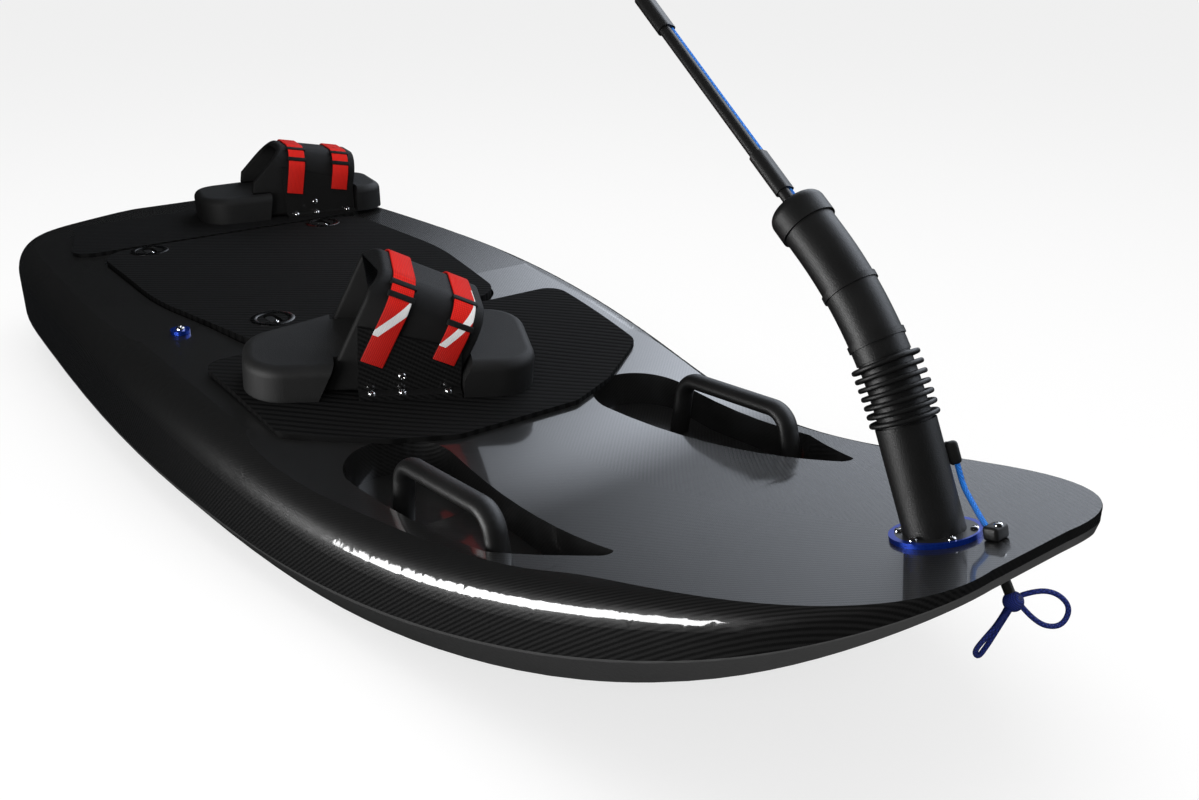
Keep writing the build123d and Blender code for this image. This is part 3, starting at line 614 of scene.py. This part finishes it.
# The white bars: height at each strap's middle, slope, half width, and the height where each is cut off
BAR_HEIGHTS = (0.083, 0.097)
BAR_RISES = (1.7, 2.0)
BAR_HALF = 0.009
BAR_CUTS = (0.062, 0.077)
WEB_RIB = 0.0022
WEB_PICK = 0.0016
WEB_DARK = (0.40, 0.006, 0.004, 1)
WEB_RED = (0.74, 0.016, 0.009, 1)
BAR_WHITE = grey(0.82)


def webbing_paint(place, striped):
    """Red ribbed webbing; the striped ones carry a white slanting bar on their bow side."""
    def paint(tap):
        _, (v, u, w) = tap.place(place)
        rib = (u * (2 * pi / WEB_RIB)).sine() * 0.5 + 0.5
        pick = (w * (2 * pi / WEB_PICK)).sine() * 0.5 + 0.5
        weave = rib * 0.6 + pick * 0.4
        red = weave.mix(WEB_DARK, WEB_RED)
        colour = red
        if striped:
            bar = 0
            for middle, tall, rise, cut in zip(STRAP_PLACES, BAR_HEIGHTS, BAR_RISES, BAR_CUTS):
                off = abs((w - tall) - (u - middle) * rise)
                bar = bar + (off < BAR_HALF) * (w > cut) * (v > 0) * (abs(u - middle) < STRAP_WIDTH / 2)
            colour = bar.mix(red, BAR_WHITE)
        return {
            "Base Color": colour,
            "Roughness": weave * 0.1 + 0.62,
            "Normal": tap.bump(weave, 0.00035),
        }
    return paint


moulded_foam = finish("moulded_foam", foam_paint, Specular_IOR_Level=0.25)
neoprene = finish("neoprene", neoprene_paint, Specular_IOR_Level=0.2)
# Where each strap's two keepers sit, as angles round its bow shoulder
KEEPER_TURNS = {"front": ((60, 37), (75, 25)), "rear": ((62, 30), (62, 30))}
KEEPER_LENGTH = 0.007
KEEPER_THICK = 0.005
KEEPER_WIDTH = STRAP_WIDTH + 0.005
KEEPER_ROUND = 0.0012
ARCH_ROUND = 0.0038
STRAP_ROUND = 0.0008
PLATE_SCREWS = (-0.044, -0.009, 0.044)
PLATE_SCREW_V = 0.0705
PLATE_TOP = 0.010
WALL_SCREW = (0.0633, -0.009, 0.027)
PLATE_SCREW_R = 0.0048
PLATE_SCREW_HEIGHT = 0.0028
for name, (middle, slope, twist, arch_u, lean, arch_top, heel) in BINDINGS.items():
    bed = Matrix.Translation(middle) @ Matrix.Rotation(-slope, 4, "Y") @ Matrix.Rotation(twist, 4, "Z")
    leaned = Matrix.Translation((0, arch_u, LEAN_PIVOT)) @ Matrix.Rotation(-lean, 4, "X")
    leaned = bed @ leaned @ Matrix.Translation((0, 0, -LEAN_PIVOT))
    dress(moulded_foam, f"{name}_binding_bed")
    dress(carbon, f"{name}_binding_plates")
    pad = softened(f"{name}_binding_arch", ARCH_ROUND, 4, leaned @ Matrix.Translation((0, -heel, 0)))
    arch = piece(f"{name}_arch_pad", pad, neoprene, "board")
    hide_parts(f"{name}_binding_arch")
    webbing = finish(f"{name}_webbing", webbing_paint(leaned, name == "front"), Specular_IOR_Level=0.15)
    web = softened(f"{name}_binding_straps", STRAP_ROUND, 2)
    straps = piece(f"{name}_straps", web, webbing, "board")
    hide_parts(f"{name}_binding_straps")
    keepers = bmesh.new()
    reach = STRAP_CORNER - STRAP_THICK / 2
    shoulder_v = STRAP_SIDE - STRAP_CORNER
    shoulder_w = arch_top + STRAP_RISE - STRAP_CORNER
    for place, turns in zip(STRAP_PLACES, KEEPER_TURNS[name]):
        for turn in turns:
            angle = radians(turn)
            reach_v = shoulder_v + reach * cos(angle)
            reach_w = shoulder_w + reach * sin(angle)
            spot = Matrix.Translation((reach_v, place, reach_w))
            spot = spot @ Matrix.Rotation(-angle, 4, "Y")
            spot = spot @ Matrix.Diagonal((KEEPER_THICK, KEEPER_WIDTH, KEEPER_LENGTH, 1))
            block = bmesh.ops.create_cube(keepers, size=1, matrix=leaned @ spot)["verts"]
            edges = list({e for v in block for e in v.link_edges})
            bmesh.ops.bevel(keepers, geom=edges, offset=KEEPER_ROUND, affect="EDGES", segments=3,
                            profile=0.5, material=-1)
    piece(f"{name}_strap_keepers", keepers, neoprene, "board")
    screws = []
    for end in (1, -1):
        for u in PLATE_SCREWS:
            screws.append(bed @ Matrix.Translation((end * PLATE_SCREW_V, arch_u + u, PLATE_TOP)))
        v, u, w = WALL_SCREW
        upright = Matrix.Translation((end * v, arch_u + u, w)) @ Matrix.Rotation(end * pi / 2, 4, "Y")
        screws.append(bed @ upright)
    screw_heads(f"{name}_plate_screws", screws, PLATE_SCREW_R, PLATE_SCREW_HEIGHT, polished, "board")


# Grab handles
# Satin moulded rubber bars in the teardrop scoops of the deck,
# screwed to the floor of the scoop at both ends.
def rubber_paint(tap):
    at, _ = tap.place()
    skin = tap.noise(at, 1100)
    bloom = tap.noise(at, 18).rise(0.4, 0.8)
    return {
        "Base Color": (skin * 0.5 + bloom * 0.5).mix(grey(0.004), grey(0.011)),
        "Roughness": skin * 0.15 + 0.38,
        "Normal": tap.bump(skin, 0.0002),
    }


rubber = finish("satin_rubber", rubber_paint, Specular_IOR_Level=0.35)
dress(rubber, "grab_handle_port", "grab_handle_starboard")

# Bow pole
# A leaning base tube, ribbed bellows, bent rubber hose and cap on a blue-rimmed ring screwed to the deck.
# A short blue cord runs from an ear on the tube to a clamp on the deck.
dress(rubber, "pole_base_tube", "pole_bellows", "pole_hose", "pole_cap", "throttle_grip")
dress(satin_black, "cable_sleeves", "throttle_trigger", "bow_eye", "tail_fins")
STRAND = 0.0016


def strand_paint(dark, light):
    """Crossing strands on a solid cord or knot, by its place."""
    def paint(tap):
        _, (x, _, z) = tap.place()
        left = ((x + z) * (pi / STRAND)).sine()
        right = ((z - x) * (pi / STRAND)).sine()
        weave = abs(left * right)
        return {
            "Base Color": weave.mix((*dark, 1), (*light, 1)),
            "Normal": tap.bump(weave, 0.0004),
        }
    return paint


dress(finish("blue_strands", strand_paint(BLUE_DARK, BLUE_LIGHT), Roughness=0.6), "lower_cord")
dress(finish("navy_strands", strand_paint(NAVY_DARK, NAVY_LIGHT), Roughness=0.65), "bow_knot")
CLAMP_PLACE = (0.8654, 0.010)
clamp_top = seat("cord_clamp", *CLAMP_PLACE)
MOULDING_ROUNDS = {"cord_ear": 0.0030, "cord_clamp": 0.0025}
for node, radius in MOULDING_ROUNDS.items():
    block = piece(f"{node}_moulding", softened(node, radius, 3), satin_black, "board")
    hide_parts(node)
RING_X = 0.8204
RING_INNER = 0.0305
RING_SCREWS = 6
RING_SCREW_AT = 0.0275
RING_SCREW_R = 0.0034
RING_SCREW_HEIGHT = 0.0022
CLAMP_SCREW_HEIGHT = 0.002


def ring_paint(tap):
    """Black inside and blue anodized along the rim."""
    at, (x, y, _) = tap.place(Matrix.Translation((RING_X, 0, 0)))
    grain = tap.noise(at, 700)
    rim = (x * x + y * y) > RING_INNER ** 2
    blue = grain.mix(ANODIZED_DARK, ANODIZED_LIGHT)
    black = grain.mix(grey(0.006), grey(0.014))
    return {
        "Base Color": rim.mix(black, blue),
        "Roughness": grain * 0.1 + 0.25,
        "Metallic": rim * ANODIZED_METAL,
    }


dress(finish("blue_rimmed_ring", ring_paint), "pole_flange")
screws = []
for index in range(RING_SCREWS):
    angle = 2 * pi * (index + 0.5) / RING_SCREWS
    screws.append(seat("pole_flange", RING_X + RING_SCREW_AT * cos(angle), RING_SCREW_AT * sin(angle)))
screw_heads("flange_screws", screws, RING_SCREW_R, RING_SCREW_HEIGHT, polished, "board")
screw_heads("clamp_screw", [clamp_top], RING_SCREW_R, CLAMP_SCREW_HEIGHT, polished, "board")


# Water jet
# A cast aluminium nozzle and intake grate, bolted into the hull, and a machined impeller on its shaft.
# The power unit is a sealed painted housing in the bay under the lid.
def cast_paint(tap):
    at, _ = tap.place()
    sand = tap.noise(at, 600)
    return {
        "Base Color": sand.mix(grey(0.26), grey(0.38)),
        "Roughness": sand * 0.2 + 0.4,
        "Normal": tap.bump(sand, 0.0003),
    }


GROOVE_PITCH = 0.0008


def turned_paint(tap):
    _, (x, _, _) = tap.place()
    groove = (x * (2 * pi / GROOVE_PITCH)).sine() * 0.5 + 0.5
    return {
        "Base Color": groove.mix(grey(0.45), grey(0.58)),
        "Roughness": groove * 0.1 + 0.25,
    }


def housing_paint(tap):
    at, _ = tap.place()
    peel = tap.noise(at, 400)
    return {
        "Base Color": peel.mix(grey(0.13), grey(0.17)),
        "Roughness": peel * 0.15 + 0.4,
        "Normal": tap.bump(peel, 0.0002),
    }


dress(finish("cast_aluminium", cast_paint, Metallic=0.9), "jet_nozzle", "intake_grate")
dress(finish("turned_steel", turned_paint, Metallic=1.0), "impeller")
dress(finish("unit_housing", housing_paint), "power_unit")
